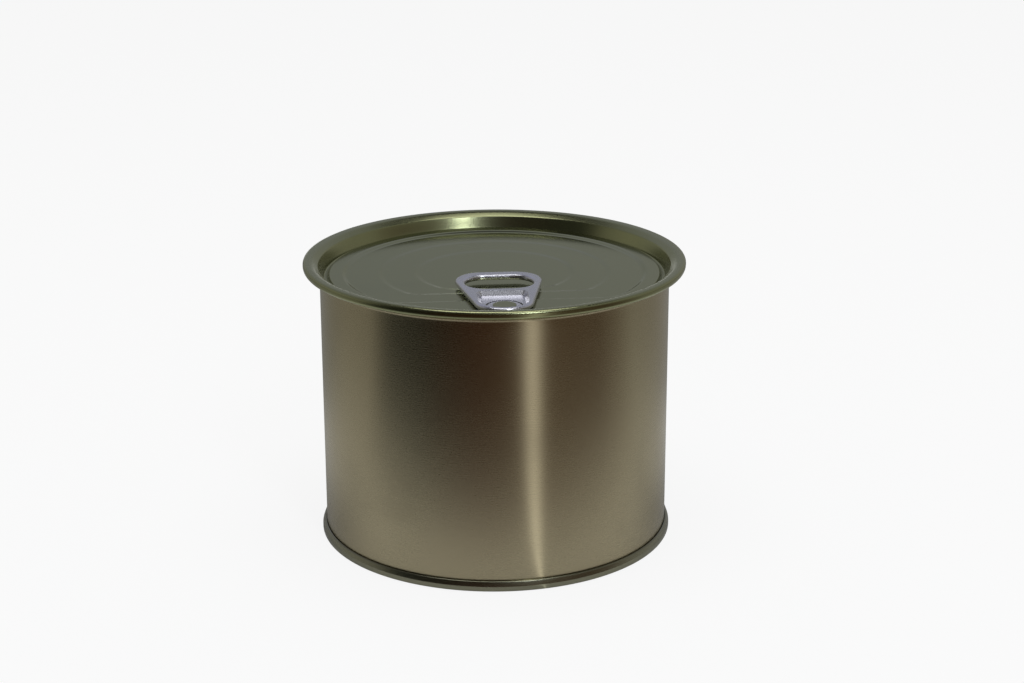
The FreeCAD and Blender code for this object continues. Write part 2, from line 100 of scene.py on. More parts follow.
def rounded_section(corners: Sequence[Corner], steps: int = 7) -> np.ndarray:
    """Section line through corners, each one rounded by an arc.

    With unit vectors u and v from a corner towards its neighbours and h half the angle
    between them, an arc of radius c touches both sides c / tan(h) from the corner, and
    its centre lies c / sin(h) from it along u + v.

    Args:
        corners: The corners in order.
        steps: Points on each arc.

    Returns:
        Rows of (distance from the axis, height).
    """
    spots = np.array([(c.radius, c.height) for c in corners])
    pieces = [spots[:1]]
    for before, spot, after, corner in zip(spots, spots[1:], spots[2:], corners[1:]):
        if corner.round <= 0:
            pieces.append(spot[None])
            continue
        u = (before - spot) / np.linalg.norm(before - spot)
        v = (after - spot) / np.linalg.norm(after - spot)
        half = math.acos(float(np.clip(u @ v, -1, 1))) / 2
        centre = spot + (u + v) / np.linalg.norm(u + v) * corner.round / math.sin(half)
        first = spot + u * corner.round / math.tan(half) - centre
        last = spot + v * corner.round / math.tan(half) - centre
        begin = math.atan2(first[1], first[0])
        turn = math.atan2(last[1], last[0]) - begin
        turn = (turn + math.pi) % (2 * math.pi) - math.pi
        angles = begin + turn * np.linspace(0, 1, steps)
        pieces.append(centre + corner.round * np.stack([np.cos(angles), np.sin(angles)], 1))
    pieces.append(spots[-1:])
    return np.concatenate(pieces)


def spaced(section: np.ndarray, longest: float) -> np.ndarray:
    """Section with points added, so that no run between two of them is too long.

    Formula: each run is cut into the whole number of equal parts that its length needs.

    Args:
        section: Rows of (distance from the axis, height).
        longest: Longest run allowed.

    Returns:
        The finer section.
    """
    lengths = np.linalg.norm(np.diff(section, axis=0), axis=1)
    parts = np.maximum(np.ceil(lengths / longest).astype(int), 1)
    start = np.repeat(np.arange(len(parts)), parts)
    share = (np.arange(parts.sum()) - np.repeat(np.cumsum(parts) - parts, parts)) / parts[start]
    inner = section[start] + (section[start + 1] - section[start]) * share[:, None]
    return np.concatenate([inner, section[-1:]])


def smooth_step(value: np.ndarray) -> np.ndarray:
    """Rise from 0 to 1 as t * t * (3 - 2 t), level on both sides."""
    t = np.clip(value, 0, 1)
    return t * t * (3 - 2 * t)


def closed_turning(name: str, rings: np.ndarray) -> bpy.types.Object:
    """Closed surface from rings of points that start and end in a pole on the axis.

    Point (i, j) is joined to (i + 1, j), (i + 1, j + 1) and (i, j + 1), with j going
    round, and the first and last ring close in a fan about their middle.

    Args:
        name: Name of the piece.
        rings: Array of rings by points round each ring by three, from the top's pole
            outwards and round to the bottom's pole, the poles' rings left out.

    Returns:
        The piece, smooth shaded, at the origin.
    """
    count, around, _ = rings.shape
    poles = [rings[0].mean(0)[None], rings[-1].mean(0)[None]]
    points = np.concatenate([rings.reshape(-1, 3), *poles])
    top, bottom = count * around, count * around + 1
    i, j = np.meshgrid(np.arange(count - 1), np.arange(around), indexing="ij")
    here, right = i * around + j, i * around + (j + 1) % around
    quads = np.stack([here, here + around, right + around, right], -1).reshape(-1, 4)
    turn = np.arange(around)
    beside = (turn + 1) % around
    last = (count - 1) * around
    top_fan = np.stack([np.full(around, top), turn, beside], 1)
    bottom_fan = np.stack([np.full(around, bottom), last + beside, last + turn], 1)
    mesh = bpy.data.meshes.new(name)
    faces = quads.tolist() + top_fan.tolist() + bottom_fan.tolist()
    mesh.from_pydata(points.tolist(), [], faces)
    mesh.validate()
    mesh.shade_smooth()
    mesh.set_sharp_from_angle(angle=SHARP_ANGLE)
    piece = bpy.data.objects.new(name, mesh)
    bpy.context.scene.collection.objects.link(piece)
    return piece


def turned(
    section: np.ndarray, angles: np.ndarray, centre: Vec3 = (0.0, 0.0, 0.0)
) -> np.ndarray:
    """Rings of a section turned about an upright axis: x = r sin a, y = -r cos a, z = height.

    Args:
        section: Rows of (distance from the axis, height).
        angles: Angles round the axis from the front, rising.
        centre: Foot of the axis.

    Returns:
        Array of rings by points by three.
    """
    radius, height = section[:, :1], section[:, 1:]
    across, along = radius * np.sin(angles), -radius * np.cos(angles)
    return np.stack([across, along, height + 0 * angles], -1) + np.array(centre)


def full_turn(count: int) -> np.ndarray:
    """Equal steps round a full turn."""
    return np.arange(count) * 2 * math.pi / count


# ---------------------------------------------------------------- shader graphs


class Wire:
    """A shader socket that can be used in Python arithmetic; each operation adds a Math node."""

    def __init__(self, graph: "Graph", socket: bpy.types.NodeSocket) -> None:
        """Keep the graph and the socket."""
        self.graph = graph
        self.socket = socket

    def _math(self, operation: str, *values: Any) -> "Wire":
        """Math node of one operation on the given values."""
        settings = {"operation": operation}
        return self.graph.node("ShaderNodeMath", settings, dict(enumerate(values))).out(0)

    def __add__(self, other: Any) -> "Wire":
        """Sum."""
        return self._math("ADD", self, other)

    def __radd__(self, other: Any) -> "Wire":
        """Sum, reflected."""
        return self._math("ADD", other, self)

    def __sub__(self, other: Any) -> "Wire":
        """Difference."""
        return self._math("SUBTRACT", self, other)

    def __rsub__(self, other: Any) -> "Wire":
        """Difference, reflected."""
        return self._math("SUBTRACT", other, self)

    def __mul__(self, other: Any) -> "Wire":
        """Product."""
        return self._math("MULTIPLY", self, other)

    def __rmul__(self, other: Any) -> "Wire":
        """Product, reflected."""
        return self._math("MULTIPLY", other, self)

    def __truediv__(self, other: Any) -> "Wire":
        """Quotient."""
        return self._math("DIVIDE", self, other)

    def __rtruediv__(self, other: Any) -> "Wire":
        """Quotient, reflected."""
        return self._math("DIVIDE", other, self)

    def __pow__(self, other: Any) -> "Wire":
        """Power."""
        return self._math("POWER", self, other)

    def __rpow__(self, other: Any) -> "Wire":
        """Power, reflected."""
        return self._math("POWER", other, self)

    def hypot(self, other: "Wire") -> "Wire":
        """Length of the vector with these two parts."""
        return self._math("SQRT", self * self + other * other)

    def angle(self, other: Any) -> "Wire":
        """Angle whose tangent is this over the other, in radians, from -pi to pi."""
        return self._math("ARCTAN2", self, other)

    def ramp(self, low: float, high: float, start: float = 0.0, end: float = 1.0) -> "Wire":
        """Smooth rise from start to end while this goes from low to high."""
        settings = {"interpolation_type": "SMOOTHSTEP"}
        values = {"Value": self, "From Min": low, "From Max": high, "To Min": start, "To Max": end}
        return self.graph.node("ShaderNodeMapRange", settings, values).out(0)


class NodeHandle:
    """A node of a graph, whose outputs come as wires."""

    def __init__(self, graph: "Graph", node: bpy.types.Node) -> None:
        """Keep the graph and the node."""
        self.graph = graph
        self.node = node

    def out(self, key: Any) -> Wire:
        """Output socket by name or number."""
        return Wire(self.graph, self.node.outputs[key])


class Graph:
    """Node tree under construction."""

    def __init__(self, tree: bpy.types.NodeTree) -> None:
        """Start with an empty tree."""
        self.tree = tree
        tree.nodes.clear()

    def node(self, kind: str, settings: dict[str, Any], values: dict[Any, Any]) -> NodeHandle:
        """Add a node.

        Args:
            kind: Node type.
            settings: Attributes set first; "stops" fills a color ramp.
            values: Numbers, colours or wires by socket name or number.

        Returns:
            The node's handle.
        """
        made = self.tree.nodes.new(kind)
        for key, value in settings.items():
            if key == "stops":
                self._fill_ramp(made.color_ramp, value)
            else:
                setattr(made, key, value)
        for key, value in values.items():
            if isinstance(value, Wire):
                self.tree.links.new(value.socket, made.inputs[key])
            else:
                made.inputs[key].default_value = value
        return NodeHandle(self, made)

    @staticmethod
    def _fill_ramp(ramp: bpy.types.ColorRamp, stops: Sequence[tuple[float, Color]]) -> None:
        """Place a color ramp's stops."""
        while len(ramp.elements) < len(stops):
            ramp.elements.new(1.0)
        for element, (place, color) in zip(ramp.elements, stops):
            element.position = place
            element.color = (*color, 1.0)

    def place(self) -> Wire:
        """Object coordinates."""
        return self.node("ShaderNodeTexCoord", {}, {}).out("Object")

    def parts(self, vector: Wire) -> tuple[Wire, Wire, Wire]:
        """The x, y and z of a vector."""
        split = self.node("ShaderNodeSeparateXYZ", {}, {0: vector})
        return split.out(0), split.out(1), split.out(2)

    def stretched(self, vector: Wire, scale: Vec3) -> Wire:
        """Vector scaled along each axis."""
        return self.node("ShaderNodeMapping", {}, {"Vector": vector, "Scale": scale}).out(0)

    def noise(self, vector: Wire, scale: float, detail: float = 3.0, rough: float = 0.5) -> Wire:
        """Soft noise from 0 to 1."""
        values = {"Vector": vector, "Scale": scale, "Detail": detail, "Roughness": rough}
        return self.node("ShaderNodeTexNoise", {}, values).out(0)

    def blend(self, factor: Wire | float, low: Any, high: Any) -> Wire:
        """Colour between two colours."""
        values = {0: factor, 6: rgba(low), 7: rgba(high)}
        return self.node("ShaderNodeMix", {"data_type": "RGBA"}, values).out(2)

    def bump(self, height: Wire, strength: float, distance: float) -> Wire:
        """Normal that follows a height."""
        values = {"Height": height, "Strength": strength, "Distance": distance}
        return self.node("ShaderNodeBump", {}, values).out(0)


def rgba(color: Any) -> Any:
    """Colour with an alpha of 1, or the wire as it is."""
    return color if isinstance(color, Wire) else (*color, 1.0)


# ---------------------------------------------------------------- finishes


@dataclass(frozen=True)
class SheetFinish:
    """Bright sheet metal under a thin lacquer.

    Attributes:
        name: Material name.
        tint: Colour of the metal through its lacquer.
        dull_tint: Colour where handling has dulled it.
        roughness: Mean roughness.
        unevenness: How far roughness wanders.
        grain: Rolling lines for each metre across them.
        grain_height: Depth of the rolling lines in metres.
        stretch: How the rolling lines are drawn out along each axis.
        anisotropy: How far highlights are drawn out.
        turn: Direction of that, in turns.
        rim_start: Distance from the axis past which the metal is rougher.
        rim_roughness: How much rougher it is there.
        seam_tint: How far the seam down the back is darkened by its weld.
    """

    name: str
    tint: Color
    dull_tint: Color
    roughness: float
    unevenness: float
    grain: float
    grain_height: float
    stretch: Vec3
    anisotropy: float = 0.0
    turn: float = 0.0
    rim_start: float = 1.0
    rim_roughness: float = 0.0
    seam_tint: float = 0.0

    def material(self) -> bpy.types.Material:
        """Make the material: tint, dulled patches, rolling lines and fine scratches.

        Returns:
            The material.
        """
        made = bpy.data.materials.new(self.name)
        made.use_nodes = True
        graph = Graph(made.node_tree)
        place = graph.place()
        patches = graph.noise(place, PATCH_SCALE, 3.0, 0.55)
        grain = graph.noise(graph.stretched(place, self.stretch), self.grain, 2.0, 0.6)
        flecks = graph.noise(place, FLECK_SCALE, 1.0, 0.5)
        dull = patches.ramp(0.52, 0.78)
        share = dull * DULL_SHARE + (grain - 0.5) * GRAIN_SHARE
        color = graph.blend(share, self.tint, self.dull_tint)
        rough = self.roughness + (patches - 0.5) * self.unevenness
        rough = rough + (grain - 0.5) * self.unevenness
        x, y, _ = graph.parts(place)
        if self.rim_roughness:
            edge = x.hypot(y).ramp(self.rim_start, self.rim_start + RIM_BLEND)
            rough = rough + edge * self.rim_roughness
        if self.seam_tint:
            across = 1 - (x * x).ramp(*WELD_EDGE)
            seam = across * y.ramp(*WELD_RISE) * self.seam_tint
            color = graph.blend(seam, color, WELD_COLOR)
        height = grain * GRAIN_RELIEF + flecks * (1 - GRAIN_RELIEF)
        relief = graph.bump(height, 1.0, self.grain_height)
        shader = graph.node(
            "ShaderNodeBsdfPrincipled",
            {},
            {
                "Base Color": color,
                "Roughness": rough,
                "Metallic": 1.0,
                "Normal": relief,
                "Anisotropic": self.anisotropy,
                "Anisotropic Rotation": self.turn,
            },
        )
        graph.node("ShaderNodeOutputMaterial", {}, {0: shader.out(0)})
        return made


WALL_TIN = SheetFinish(
    name="wall_tin",
    tint=(0.41, 0.36, 0.235),
    dull_tint=(0.35, 0.305, 0.20),
    roughness=0.27,
    unevenness=0.05,
    grain=260.0,
    grain_height=0.0000007,
    stretch=(1.0, 1.0, 24.0),
    anisotropy=0.78,
    turn=0.25,
    seam_tint=0.6,
)
BASE_TIN = SheetFinish(
    name="base_tin",
    tint=(0.25, 0.245, 0.175),
    dull_tint=(0.215, 0.21, 0.15),
    roughness=0.24,
    unevenness=0.06,
    grain=300.0,
    grain_height=0.000001,
    stretch=(1.0, 1.0, 6.0),
)
LID_TIN = SheetFinish(
    name="lid_tin",
    tint=(0.29, 0.302, 0.165),
    dull_tint=(0.25, 0.262, 0.148),
    roughness=0.12,
    unevenness=0.04,
    grain=300.0,
    grain_height=0.000001,
    stretch=(14.0, 1.0, 1.0),
    rim_start=0.0474,
    rim_roughness=0.12,
)
TAB_METAL = SheetFinish(
    name="tab_metal",
    tint=(0.64, 0.64, 0.69),
    dull_tint=(0.54, 0.54, 0.585),
    roughness=0.27,
    unevenness=0.05,
    grain=420.0,
    grain_height=0.0000006,
    stretch=(6.0, 1.0, 1.0),
)


# ---------------------------------------------------------------- pieces of the can


@dataclass(frozen=True)
class Recess:
    """D-shaped recess pressed into the panel: an arc about the axis and a straight front."""

    radius: float
    chord: float
    depth: float
    run: float

    def fall(self, x: np.ndarray, y: np.ndarray, corner: float) -> np.ndarray:
        """How far the panel falls at each point.

        With a the distance inwards from the arc and b from the straight side, the
        distance inwards from the rounded outline is c less the length of the parts of
        (c - a, c - b) above nil, where c is the corner's rounding. The fall rises
        smoothly with it over the slope's run.

        Args:
            x: Distances across.
            y: Distances along.
            corner: Rounding where arc and straight side meet.

        Returns:
            Depths below the panel outside.
        """
        a = corner - (self.radius - np.hypot(x, y))
        b = corner - (self.chord + y)
        beyond = np.hypot(np.maximum(a, 0), np.maximum(b, 0)) + np.minimum(np.maximum(a, b), 0)
        return self.depth * smooth_step((corner - beyond) / self.run)


@dataclass
class RingPullEnd:
    """The can's top: rolled rim, chuck wall, countersink, stepped panel, score and rivet."""

    flange_width: float = 4.3 * MM
    flange_fall: float = 1.35 * MM
    rim_drop: float = 0.95 * MM
    hem_round: float = 1.55 * MM
    chuck_run: float = 1.6 * MM
    sink_depth: float = 5.25 * MM
    sink_round: float = 0.65 * MM
    seat_depth: float = 5.8 * MM
    seat_radius: float = 48.8 * MM
    seat_spread: float = 1.1 * MM
    panel_depth: float = 3.95 * MM
    dome: float = 0.12 * MM
    score_radius: float = 46.4 * MM
    score_width: float = 0.5 * MM
    score_depth: float = 0.12 * MM
    recess_corner: float = 3.2 * MM
    around: int = 384
    recesses: tuple[Recess, ...] = (
        Recess(43.5 * MM, 30.6 * MM, 0.45 * MM, 1.6 * MM),
        Recess(33.3 * MM, 22.6 * MM, 0.19 * MM, 2.0 * MM),
        Recess(23.0 * MM, 17.9 * MM, 0.19 * MM, 1.9 * MM),
    )

    def __post_init__(self) -> None:
        """Read the rim's radius and the crest's height from the frame."""
        low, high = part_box("lid")
        self.rim_radius = high.x
        self.crest = high.z

    def rim_section(self) -> np.ndarray:
        """Section from the panel's edge over the rim and back to the axis below."""
        rim, crest = self.rim_radius, self.crest
        foot = rim - self.flange_width
        wall = foot - self.chuck_run
        inner = wall - 2 * self.sink_round
        sink = crest - self.sink_depth
        panel = crest - self.panel_depth
        hem = crest - self.rim_drop - self.hem_round
        round_sink = self.sink_round * 0.98
        corners = [
            Corner(inner - 0.9 * MM, panel),
            Corner(inner, panel, 0.4 * MM),
            Corner(inner, sink, round_sink),
            Corner(wall + 0.15 * MM, sink, round_sink),
            Corner(foot, crest - self.flange_fall, 0.9 * MM),
            Corner(rim - 2.35 * MM, crest - 0.05 * MM, 3.0 * MM),
            Corner(rim, crest, 0.95 * MM),
            Corner(rim, hem, self.hem_round * 0.78),
            Corner(self.seat_radius + self.seat_spread, hem),
            Corner(self.seat_radius, crest - self.seat_depth),
            Corner(1.0 * MM, crest - self.seat_depth),
        ]
        return spaced(rounded_section(corners, 9), 1.2 * MM)

    def panel_height(self, radius: np.ndarray, x: np.ndarray, y: np.ndarray) -> np.ndarray:
        """Height of the panel: its level, less the recesses and the score, plus a low dome.

        Args:
            radius: Distances from the axis.
            x: Distances across.
            y: Distances along.

        Returns:
            Heights.
        """
        level = self.crest - self.panel_depth
        height = np.full(x.shape, level)
        for recess in self.recesses:
            height -= recess.fall(x, y, self.recess_corner)
        from_score = np.abs(radius - self.score_radius) / (self.score_width / 2)
        height -= self.score_depth * (1 - smooth_step(from_score))
        inside = smooth_step((42 * MM - radius) / (20 * MM))
        return height + self.dome * inside

    def build(self) -> bpy.types.Object:
        """Make the end as one closed shell of rings, from the panel's middle outwards.

        Returns:
            The shell.
        """
        section = self.rim_section()
        edge = section[0, 0]
        count = int(edge / (0.32 * MM))
        radii = np.arange(1, count + 1) / count * edge
        angles = full_turn(self.around)
        inner = turned(np.stack([radii, 0 * radii], 1), angles)
        inner[..., 2] = self.panel_height(radii[:, None], inner[..., 0], inner[..., 1])
        rings = np.concatenate([inner, turned(section[1:], angles)])
        return closed_turning("ring_pull_end", rings)


@dataclass
class Rivet:
    """The rivet pressed from the panel: button under the tab, stem and head."""

    place: float = -38.3 * MM
    button_radius: float = 3.9 * MM
    stem_radius: float = 1.6 * MM
    head_radius: float = 3.2 * MM
    head_height: float = 0.42 * MM
    web: float = 0.45 * MM
    root: float = 4.5 * MM

    def build(self, end: RingPullEnd) -> bpy.types.Object:
        """Make the rivet as a turned section: a low button, a neck and a flat head.

        Args:
            end: The end that it is pressed from.

        Returns:
            The rivet.
        """
        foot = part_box("pull_tab")[0].z
        web_top = foot + self.web
        crown = web_top + self.head_height
        root = end.crest - self.root
        corners = [
            Corner(0.2 * MM, crown),
            Corner(self.head_radius, crown, 0.14 * MM),
            Corner(self.head_radius, web_top),
            Corner(self.stem_radius, web_top),
            Corner(self.stem_radius, foot),
            Corner(self.button_radius, foot, 0.2 * MM),
            Corner(self.button_radius + 0.4 * MM, root),
            Corner(0.2 * MM, root),
        ]
        section = spaced(rounded_section(corners, 6), 0.4 * MM)
        return closed_turning("rivet", turned(section, full_turn(96), (0.0, self.place, 0.0)))


@dataclass
class Wall:
    """The can's wall: straight, flared under the rim, with a lapped seam down its back."""

    radius: float = 49.65 * MM
    end_radius: float = 48.2 * MM
    end_height: float = 4.8 * MM
    foot: float = 3.0 * MM
    foot_radius: float = 48.75 * MM
    hem: float = 78.5 * MM
    flare_edge: float = 51.4 * MM
    flare_height: float = 1.5 * MM
    seat_radius: float = 48.8 * MM
    seat_spread: float = 1.1 * MM
    seat_height: float = 75.2 * MM
    lap_width: float = 1.1 * MM
    lap_height: float = 0.12 * MM
    around: int = 360

    def angles(self) -> np.ndarray:
        """Angles round the wall: equal steps, and fine ones across the lapped seam."""
        fine = math.pi + np.linspace(-1, 1, 23) * self.lap_width / self.radius
        equal = full_turn(self.around)
        apart = np.abs(equal - math.pi) > 1.2 * self.lap_width / self.radius
        return np.sort(np.concatenate([equal[apart], fine]))

    def section(self) -> np.ndarray:
        """Section from the axis over the hidden top, down the wall and back to the axis."""
        corners = [
            Corner(1 * MM, self.seat_height),
            Corner(self.seat_radius, self.seat_height),
            Corner(self.seat_radius + self.seat_spread, self.hem),
            Corner(self.flare_edge, self.hem),
            Corner(self.radius, self.hem - self.flare_height, 1.0 * MM),
            Corner(self.radius, self.foot),
            Corner(self.foot_radius, self.foot),
            Corner(self.end_radius, self.end_height),
            Corner(1 * MM, self.end_height),
        ]
        return spaced(rounded_section(corners, 7), 2.0 * MM)

    def build(self) -> bpy.types.Object:
        """Make the wall: the turned section, drawn out by the seam's step where it laps.

        The step rises smoothly to its height at the middle of the seam's width and falls
        again, on the straight of the wall alone.

        Returns:
            The wall.
        """
        section, angles = self.section(), self.angles()
        off_seam = np.abs(angles - math.pi) * self.radius / (self.lap_width / 2)
        step = 1 - smooth_step((off_seam - 0.7) / 0.3)
        straight = (np.abs(section[:, 0] - self.radius) < 1e-6).astype(float)
        rings = turned(section, angles)
        outwards = turned(np.array([[1.0, 0.0]]), angles)
        rings += straight[:, None, None] * step[:, None] * outwards * self.lap_height
        return closed_turning("wall", rings)


@dataclass
class BaseEnd:
    """The can's base: rounded seam, chuck wall, countersink and two pressed rings."""

    reach: float = 50.9 * MM
    wall: float = 49.65 * MM
    seam_height: float = 3.0 * MM
    seam_width: float = 2.4 * MM
    chuck_run: float = 0.9 * MM
    sink_height: float = 4.0 * MM
    sink_width: float = 1.3 * MM
    panel_height: float = 3.1 * MM
    bead_height: float = 0.5 * MM
    bead_run: float = 0.8 * MM
    bead_width: float = 4.5 * MM
    beads: tuple[float, float] = (7.3 * MM, 22.3 * MM)
    end_radius: float = 48.2 * MM
    end_height: float = 4.8 * MM
    around: int = 360

    def section(self) -> np.ndarray:
        """Section from the axis over the hidden top, round the seam and in along the base."""
        inside = self.reach - self.seam_width
        sink = inside - self.chuck_run
        edge = sink - self.sink_width
        corners = [
            Corner(1 * MM, self.end_height),
            Corner(self.end_radius, self.end_height),
            Corner(self.wall - 0.9 * MM, self.seam_height - 0.25 * MM),
            Corner(self.wall + 0.06 * MM, self.seam_height - 0.25 * MM),
            Corner(self.wall + 0.2 * MM, self.seam_height, 0.1 * MM),
            Corner(self.wall + 0.72 * MM, self.seam_height - 0.1 * MM, 0.4 * MM),
            Corner(self.reach, self.seam_height * 0.5, 1.5 * MM),
            Corner(self.reach, 0.0, 0.6 * MM),
            Corner(inside, 0.0, 0.3 * MM),
            Corner(sink, self.sink_height, 0.35 * MM),
            Corner(edge, self.sink_height, 0.35 * MM),
            Corner(edge - 0.3 * MM, self.panel_height, 0.3 * MM),
        ]
        raised = self.panel_height + self.bead_height
        for place in self.beads:
            bead = edge - place
            corners += [
                Corner(bead, self.panel_height, 0.5 * MM),
                Corner(bead - self.bead_run, raised, 0.5 * MM),
                Corner(bead - self.bead_width + self.bead_run, raised, 0.5 * MM),
                Corner(bead - self.bead_width, self.panel_height, 0.5 * MM),
            ]
        corners.append(Corner(1 * MM, self.panel_height))
        return spaced(rounded_section(corners, 8), 1.5 * MM)

    def build(self) -> bpy.types.Object:
        """Turn the section into the base.

        Returns:
            The base.
        """
        return closed_turning("base_end", turned(self.section(), full_turn(self.around)))


class Can:
    """The whole can: carried pieces from the frame, and finer ones in their place."""

    def __init__(self) -> None:
        """Start with the frame's own pieces."""
        self.nodes = frame["nodes"]

    def dress(self, node: str, finish: SheetFinish) -> None:
        """Give a carried piece its finish.

        Args:
            node: Name of the piece.
            finish: The finish it gets.
        """
        slots = self.nodes[node].data.materials
        slots.clear()
        slots.append(finish.material())
        log.info("%s: %s", node, finish.name)

    def fit(self, piece: bpy.types.Object, material: bpy.types.Material) -> None:
        """Give a new piece its material and body.

        Args:
            piece: The piece.
            material: Its material.
        """
        piece.data.materials.append(material)
        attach(piece, "root")
        log.info("%s: %d faces", piece.name, len(piece.data.polygons))

    def build(self) -> None:
        """Build the end, its rivet, the wall and the base, and dress the tab."""
        lid_metal = LID_TIN.material()
        end = RingPullEnd()
        shell = end.build()
        self.fit(shell, lid_metal)
        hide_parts("lid")
        self.fit(Rivet().build(end), lid_metal)
        wall = Wall().build()
        self.fit(wall, WALL_TIN.material())
        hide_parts("body")
        base = BaseEnd().build()
        self.fit(base, BASE_TIN.material())
        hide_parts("base")
        self.dress("pull_tab", TAB_METAL)


# ---------------------------------------------------------------- studio


class RayKind(Enum):
    """Kinds of ray that the painted reflections tell apart."""

    CAMERA = "Is Camera Ray"
    GLOSSY = "Is Glossy Ray"


@dataclass(frozen=True)
class PaintedSurroundings:
    """Painted reflections that only glossy rays see: a pale room whose front, behind the camera,
    is dim.

    The stops go round the can from behind over the left, the front and the right to
    behind again, as shares of a full turn.

    Attributes:
        low: Colours of the far floor and of the walls near the horizon.
        high: Colours of the walls from a quarter of the way up.
        ceiling: Colour overhead, beside the lamps.
        horizon: Colour of the far edge of the floor at the back, a painted bright band that the
            metal mirrors as a highlight.
        rise: Parts upwards between which low gives way to high.
        top: Parts upwards between which the walls give way to the ceiling.
        sides: Squared parts sideways between which the horizon ends.
        back: Parts to the back between which the horizon starts.
        above: Parts upwards between which the horizon ends.
    """

    low: tuple[tuple[float, Color], ...] = (
        (0.0, (0.27, 0.28, 0.285)),
        (0.20, (0.36, 0.35, 0.31)),
        (0.265, (0.29, 0.28, 0.25)),
        (0.29, (0.09, 0.088, 0.075)),
        (0.312, (0.022, 0.025, 0.02)),
        (0.365, (0.018, 0.018, 0.013)),
        (0.40, (0.03, 0.016, 0.008)),
        (0.46, (0.055, 0.022, 0.009)),
        (0.50, (0.075, 0.038, 0.02)),
        (0.55, (0.13, 0.09, 0.06)),
        (0.67, (0.11, 0.075, 0.05)),
        (0.71, (0.2, 0.17, 0.14)),
        (0.745, (0.33, 0.32, 0.29)),
        (0.86, (0.37, 0.36, 0.34)),
        (1.0, (0.27, 0.28, 0.285)),
    )
    high: tuple[tuple[float, Color], ...] = (
        (0.0, (0.37, 0.38, 0.49)),
        (0.22, (0.25, 0.25, 0.25)),
        (0.29, (0.05, 0.05, 0.045)),
        (0.48, (0.02, 0.02, 0.018)),
        (0.53, (0.06, 0.06, 0.05)),
        (0.58, (0.22, 0.22, 0.2)),
        (0.75, (0.3, 0.3, 0.28)),
        (1.0, (0.37, 0.38, 0.49)),
    )
    ceiling: Color = (0.04, 0.04, 0.04)
    horizon: Color = (0.9, 0.9, 0.95)
    rise: Span = (0.25, 0.5)
    top: Span = (0.7, 0.88)
    sides: Span = (0.01, 0.06)
    back: Span = (0.2, 0.8)
    above: Span = (0.02, 0.12)

    def ring(self, graph: Graph, x: Wire, y: Wire, stops: Sequence[tuple[float, Color]]) -> Wire:
        """Painted reflection colour by direction round the can.

        Args:
            graph: Graph to build in.
            x: Distance to the right.
            y: Distance to the back.
            stops: Colours by share of a turn.

        Returns:
            The colour.
        """
        share = x.angle(0 - y) / (2 * math.pi) + 0.5
        return graph.node("ShaderNodeValToRGB", {"stops": stops}, {0: share}).out(0)

    def walls(self, graph: Graph, x: Wire, y: Wire, z: Wire) -> Wire:
        """Painted reflection colour of the walls and the ceiling by direction.

        Args:
            graph: Graph to build in.
            x: Part of the direction to the right.
            y: Part to the back.
            z: Part upwards.

        Returns:
            The colour.
        """
        low = self.ring(graph, x, y, self.low)
        high = self.ring(graph, x, y, self.high)
        wall = graph.blend(z.ramp(*self.rise), low, high)
        sideways = (x * x).ramp(*self.sides)
        behind = y.ramp(*self.back) * (1 - z.ramp(*self.above)) * (1 - sideways)
        wall = graph.blend(behind, wall, self.horizon)
        return graph.blend(z.ramp(*self.top), wall, self.ceiling)


@dataclass(frozen=True)
class SoftBox:
    """Soft rectangular lamp aimed at the can.

    Attributes:
        name: Name of the lamp.
        azimuth: Degrees to the right of the front.
        elevation: Degrees above the floor.
        distance: Metres from the can.
        width: Metres across.
        height: Metres up.
        brightness: Brightness of its face, where 1 is white.
        color: Colour of its light.
    """

    name: str
    azimuth: float
    elevation: float
    distance: float
    width: float
    height: float
    brightness: float
    color: Color = (1.0, 1.0, 1.0)

    def build(self, target: Vector) -> None:
        """Hang the lamp and aim it.

        Args:
            target: What it is aimed at.
        """
        lamp = bpy.data.lights.new(self.name, "AREA")
        lamp.shape = "RECTANGLE"
        lamp.size = self.width
        lamp.size_y = self.height
        lamp.color = self.color
        lamp.energy = self.brightness * math.pi * self.width * self.height
        turn, lift = math.radians(self.azimuth), math.radians(self.elevation)
        level = math.cos(lift)
        away = Vector((math.sin(turn) * level, -math.cos(turn) * level, math.sin(lift)))
        holder = bpy.data.objects.new(self.name, lamp)
        holder.location = target + away * self.distance
        holder.rotation_euler = (-away).to_track_quat("-Z", "Y").to_euler()
        bpy.context.scene.collection.objects.link(holder)


